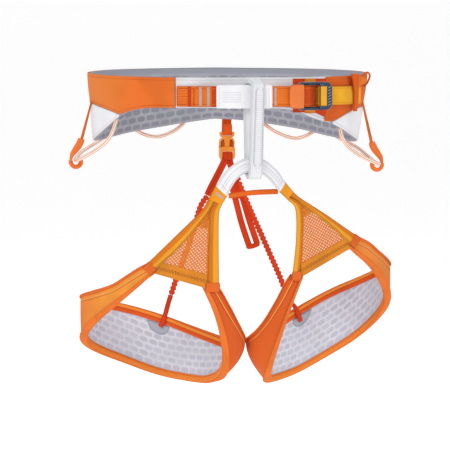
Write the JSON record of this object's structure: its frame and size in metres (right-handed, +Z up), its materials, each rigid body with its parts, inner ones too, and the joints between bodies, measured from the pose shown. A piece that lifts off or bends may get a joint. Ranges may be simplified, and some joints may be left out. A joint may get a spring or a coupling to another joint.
{
  "type": "climbing harness",
  "caption": "Sit harness with a padded waist belt and buckle, a sewn belay loop, a bridge to two padded leg loops, rear drop buckle and gear loops.",
  "frame": {"origin": "centre of the waist opening, level with the middle of the tie-in webbing", "axes": "+Z up as worn, -Y towards the wearer's front, +X towards the wearer's left, where the waist buckle is"},
  "size_m": [0.3533, 0.2446, 0.3425],
  "materials": {
    "belt_lining": "grey honeycomb mesh over foam",
    "belt_tongue": "light grey woven lining over foam",
    "belt_shell_left": "smooth orange woven nylon",
    "hip_wing_left": "white coated fabric",
    "belt_shell_right": "smooth orange woven nylon",
    "hip_wing_right": "white coated fabric",
    "belt_end_patch": "deep orange woven nylon",
    "buckle_anchor_strap": "light orange webbing",
    "waist_webbing": "orange flat webbing",
    "tie_in_sheath": "white woven sleeve",
    "webbing_cap": "orange folded webbing",
    "buckle_frame": "dark blue anodised",
    "buckle_slider": "dark blue anodised",
    "buckle_webbing_turn": "light orange webbing",
    "webbing_tail": "light orange webbing",
    "keeper_band": "orange elastic",
    "belay_loop": "white bartacked webbing",
    "belay_loop_overlap": "white webbing with stitching",
    "leg_bridge": "white webbing",
    "bridge_cross_strap": "orange narrow webbing",
    "leg_shell_left": "smooth orange stretch woven",
    "leg_lining_left": "light grey mesh over foam",
    "leg_binding_top_left": "orange folded binding",
    "leg_binding_bottom_left": "orange folded binding",
    "rear_patch_left": "grey fabric",
    "fork_collar_left": "orange webbing with bar tacks",
    "fork_strap_outer_left": "light orange webbing",
    "fork_strap_inner_left": "light orange webbing",
    "fork_mesh_left": "open orange mesh",
    "rear_elastic_left": "beaded orange elastic",
    "rear_tab_left": "flat orange elastic",
    "leg_shell_right": "smooth orange stretch woven",
    "leg_lining_right": "light grey mesh over foam",
    "leg_binding_top_right": "orange folded binding",
    "leg_binding_bottom_right": "orange folded binding",
    "rear_patch_right": "grey fabric",
    "fork_collar_right": "orange webbing with bar tacks",
    "fork_strap_outer_right": "light orange webbing",
    "fork_strap_inner_right": "light orange webbing",
    "fork_mesh_right": "open orange mesh",
    "rear_elastic_right": "beaded orange elastic",
    "rear_tab_right": "flat orange elastic",
    "rear_drop_webbing": "deep orange webbing",
    "drop_buckle_plug": "orange moulded",
    "drop_buckle_prong_left": "orange moulded",
    "drop_buckle_prong_right": "orange moulded",
    "drop_buckle_socket": "orange moulded",
    "riser_loop": "deep orange webbing",
    "riser_strap_left": "deep orange webbing",
    "riser_strap_right": "deep orange webbing",
    "adjuster_tails": "deep orange narrow webbing",
    "gear_loop_front_left": "pale tube with orange lengthwise stripes",
    "gear_loop_front_right": "pale tube with orange lengthwise stripes",
    "gear_loop_rear_left": "pale tube with orange lengthwise stripes",
    "gear_loop_rear_right": "pale tube with orange lengthwise stripes",
    "separator_hook_left": "orange moulded",
    "separator_strap_left": "white narrow webbing",
    "separator_hook_right": "orange moulded",
    "separator_strap_right": "white narrow webbing"
  },
  "bodies": {
    "waist_belt": {"belt_lining": "belt_lining", "belt_tongue": "belt_tongue", "belt_shell_left": "belt_shell_left", "belt_shell_right": "belt_shell_right", "hip_wing_left": "hip_wing_left", "hip_wing_right": "hip_wing_right", "belt_end_patch": "belt_end_patch", "buckle_anchor_strap": "buckle_anchor_strap", "waist_webbing": "waist_webbing", "tie_in_sheath": "tie_in_sheath", "webbing_cap": "webbing_cap", "buckle_frame": "buckle_frame", "webbing_tail": "webbing_tail", "keeper_band": "keeper_band", "leg_bridge": "leg_bridge", "bridge_cross_strap": "bridge_cross_strap", "rear_drop_webbing": "rear_drop_webbing", "drop_buckle_socket": "drop_buckle_socket", "riser_loop": "riser_loop", "riser_strap_left": "riser_strap_left", "riser_strap_right": "riser_strap_right", "rear_elastic_left": "rear_elastic_left", "rear_elastic_right": "rear_elastic_right", "separator_strap_left": "separator_strap_left", "separator_strap_right": "separator_strap_right"},
    "waist_buckle_slider": {"buckle_slider": "buckle_slider", "buckle_webbing_turn": "buckle_webbing_turn"},
    "belay_loop": {"belay_loop": "belay_loop", "belay_loop_overlap": "belay_loop_overlap"},
    "left_leg_loop": {"leg_shell_left": "leg_shell_left", "leg_lining_left": "leg_lining_left", "leg_binding_top_left": "leg_binding_top_left", "leg_binding_bottom_left": "leg_binding_bottom_left", "rear_patch_left": "rear_patch_left", "fork_collar_left": "fork_collar_left", "fork_strap_outer_left": "fork_strap_outer_left", "fork_strap_inner_left": "fork_strap_inner_left", "fork_mesh_left": "fork_mesh_left", "rear_tab_left": "rear_tab_left"},
    "right_leg_loop": {"leg_shell_right": "leg_shell_right", "leg_lining_right": "leg_lining_right", "leg_binding_top_right": "leg_binding_top_right", "leg_binding_bottom_right": "leg_binding_bottom_right", "rear_patch_right": "rear_patch_right", "fork_collar_right": "fork_collar_right", "fork_strap_outer_right": "fork_strap_outer_right", "fork_strap_inner_right": "fork_strap_inner_right", "fork_mesh_right": "fork_mesh_right", "rear_tab_right": "rear_tab_right"},
    "drop_plug": {"drop_buckle_plug": "drop_buckle_plug"},
    "drop_prong_left": {"drop_buckle_prong_left": "drop_buckle_prong_left"},
    "drop_prong_right": {"drop_buckle_prong_right": "drop_buckle_prong_right"},
    "adjuster_tails": {"adjuster_tails": "adjuster_tails"},
    "front_left_gear_loop": {"gear_loop_front_left": "gear_loop_front_left", "separator_hook_left": "separator_hook_left"},
    "front_right_gear_loop": {"gear_loop_front_right": "gear_loop_front_right", "separator_hook_right": "separator_hook_right"},
    "rear_left_gear_loop": {"gear_loop_rear_left": "gear_loop_rear_left"},
    "rear_right_gear_loop": {"gear_loop_rear_right": "gear_loop_rear_right"}
  },
  "joints": [
    {"name": "left_leg_swing", "type": "hinge", "parent": "waist_belt", "child": "left_leg_loop", "pos_m": [-0.0379, -0.1036, -0.0986], "axis": [1, 0, 0], "range_deg": [-10, 4], "stiffness_Nm_per_rad": 1, "springref_deg": 3.44, "deforming": ["rear_elastic_left"]},
    {"name": "right_leg_swing", "type": "hinge", "parent": "waist_belt", "child": "right_leg_loop", "pos_m": [0.0268, -0.1036, -0.0947], "axis": [1, 0, 0], "range_deg": [-10, 4], "stiffness_Nm_per_rad": 1, "springref_deg": 3.44, "deforming": ["rear_elastic_right"]},
    {"name": "belay_loop_twist", "type": "hinge", "parent": "waist_belt", "child": "belay_loop", "pos_m": [-0.006, -0.1185, -0.0335], "axis": [0, 0, 1], "range_deg": [-20, 2]},
    {"name": "front_left_gear_loop_swing", "type": "hinge", "parent": "waist_belt", "child": "front_left_gear_loop", "pos_m": [-0.1387, 0.0067, -0.0255], "axis": [0.1, 0.9876, -0.1209], "range_deg": [-3, 25], "stiffness_Nm_per_rad": 0.05, "deforming": ["separator_strap_left"]},
    {"name": "front_right_gear_loop_swing", "type": "hinge", "parent": "waist_belt", "child": "front_right_gear_loop", "pos_m": [0.1017, -0.0054, -0.0295], "axis": [0.0785, 0.9957, -0.0495], "range_deg": [-25, 3], "stiffness_Nm_per_rad": 0.05, "deforming": ["separator_strap_right"]},
    {"name": "rear_left_gear_loop_swing", "type": "hinge", "parent": "waist_belt", "child": "rear_left_gear_loop", "pos_m": [-0.07783, 0.09574, -0.024], "axis": [0.9478, 0.319, 0], "range_deg": [-3, 30], "stiffness_Nm_per_rad": 0.03},
    {"name": "rear_right_gear_loop_swing", "type": "hinge", "parent": "waist_belt", "child": "rear_right_gear_loop", "pos_m": [0.07258, 0.0871, -0.026], "axis": [0.8984, -0.4391, 0], "range_deg": [-3, 30], "stiffness_Nm_per_rad": 0.03},
    {"name": "waist_buckle_slide", "type": "slide", "parent": "waist_belt", "child": "waist_buckle_slider", "axis": [-0.9272, -0.3746, 0], "range_m": [0, 0.005]},
    {"name": "drop_buckle_release", "type": "slide", "parent": "waist_belt", "child": "drop_plug", "axis": [0, 0, 1], "range_m": [0, 0.012], "deforming": ["rear_drop_webbing"]},
    {"name": "drop_prong_right_squeeze", "type": "hinge", "parent": "drop_plug", "child": "drop_prong_right", "pos_m": [0.0067, 0.1083, -0.051], "axis": [0, 1, 0], "range_deg": [0, 8], "stiffness_Nm_per_rad": 0.02},
    {"name": "drop_prong_left_squeeze", "type": "hinge", "parent": "drop_plug", "child": "drop_prong_left", "pos_m": [-0.0021, 0.1083, -0.051], "axis": [0, 1, 0], "range_deg": [-8, 0], "stiffness_Nm_per_rad": 0.02},
    {"name": "adjuster_tails_swing", "type": "hinge", "parent": "waist_belt", "child": "adjuster_tails", "pos_m": [0.012, 0.1104, -0.0975], "axis": [1, 0, 0], "range_deg": [-5, 30]}
  ],
  "couplings": [
    {"joint": "drop_prong_left_squeeze", "follows": "drop_prong_right_squeeze", "ratio": -1}
  ]
}
